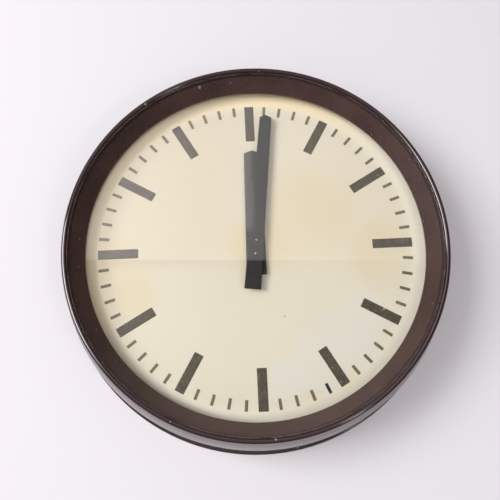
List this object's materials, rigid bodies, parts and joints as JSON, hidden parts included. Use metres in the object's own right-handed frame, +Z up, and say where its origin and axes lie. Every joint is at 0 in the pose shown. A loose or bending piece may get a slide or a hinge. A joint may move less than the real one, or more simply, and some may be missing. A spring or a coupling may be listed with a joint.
{
  "type": "slave clock",
  "caption": "Round wall clock driven by minute impulses, with a dark moulded case, bayonet bezel with flat glass, bar dial, two hands and gear movement.",
  "frame": {"origin": "on the hand axis in the wall plane, the middle of the back pad", "axes": "+Z up to 12 o'clock, +X to the right seen from the front, +Y into the wall, so the dial faces -Y"},
  "size_m": [0.3302, 0.0626, 0.3302],
  "materials": {
    "bakelite": "polished dark brown moulding",
    "glass": "clear flat glass",
    "rubber": "matt black",
    "steel": "plated",
    "dial_paint": "aged cream enamel",
    "mark_print": "printed black",
    "hand_paint": "satin black",
    "rivet_metal": "bare",
    "brass": "lacquered",
    "insulator": "moulded",
    "lead_sleeve": "woven sleeve",
    "copper": "enamelled wire",
    "soft_iron": "annealed",
    "magnet": "ground"
  },
  "bodies": {
    "case": {"case_body": "bakelite", "hanger_plate": "steel", "hanger_screws": "steel", "cable_grommet": "rubber", "terminal_block": "insulator", "terminal_screws": "brass", "terminal_fixing_screws": "steel", "lead_wires": "lead_sleeve", "dial_plate": "dial_paint", "hour_marks": "mark_print", "minute_marks": "mark_print", "dial_screws": "steel", "movement_back_plate": "brass", "movement_front_plate": "brass", "plate_pillars": "brass", "pillar_screws": "steel", "pillar_rear_screws": "steel", "movement_screws": "steel", "arbor_bushes": "brass", "motion_stud": "steel", "stator_poles": "soft_iron", "stator_spacers": "brass", "stator_screws": "steel", "coil_core": "soft_iron", "coil_bobbin": "insulator", "coil_winding": "copper", "core_screws": "steel"},
    "bezel": {"front_bezel": "bakelite", "front_glass": "glass", "glass_gasket": "rubber", "glass_retaining_ring": "steel", "ring_screws": "steel"},
    "minute_train": {"centre_arbor": "steel", "centre_wheel": "brass", "cannon_pinion": "brass", "minute_hand": "hand_paint", "minute_hand_boss": "brass", "minute_hand_rivets": "rivet_metal"},
    "hour_train": {"hour_wheel": "brass", "hour_hand": "hand_paint", "hour_hand_collet": "brass", "hour_hand_rivets": "rivet_metal"},
    "motion_work": {"minute_wheel": "brass", "minute_wheel_pinion": "brass"},
    "reduction": {"intermediate_wheel": "brass", "intermediate_pinion": "steel", "intermediate_arbor": "steel"},
    "rotor": {"rotor_magnet": "magnet", "rotor_pinion": "brass", "rotor_shaft": "steel"}
  },
  "joints": [
    {"name": "minute_spin", "type": "hinge", "parent": "case", "child": "minute_train", "pos_m": [0, -0.03, 0], "axis": [0, 1, 0], "continuous": true},
    {"name": "hour_spin", "type": "hinge", "parent": "case", "child": "hour_train", "pos_m": [0, -0.03, 0], "axis": [0, 1, 0], "continuous": true},
    {"name": "motion_spin", "type": "hinge", "parent": "case", "child": "motion_work", "pos_m": [-0.01386, -0.03, 0.008], "axis": [0, 1, 0], "continuous": true},
    {"name": "reduction_spin", "type": "hinge", "parent": "case", "child": "reduction", "pos_m": [0, -0.03, -0.028], "axis": [0, 1, 0], "continuous": true},
    {"name": "rotor_spin", "type": "hinge", "parent": "case", "child": "rotor", "pos_m": [0, -0.03, -0.0472], "axis": [0, 1, 0], "continuous": true},
    {"name": "bezel_twist", "type": "hinge", "parent": "case", "child": "bezel", "pos_m": [0, -0.04, 0], "axis": [0, -1, 0], "range_deg": [0, 22]}
  ],
  "couplings": [
    {"joint": "hour_spin", "follows": "minute_spin", "ratio": 0.083333},
    {"joint": "motion_spin", "follows": "minute_spin", "ratio": -0.33333},
    {"joint": "reduction_spin", "follows": "minute_spin", "ratio": -6},
    {"joint": "rotor_spin", "follows": "minute_spin", "ratio": 30}
  ]
}
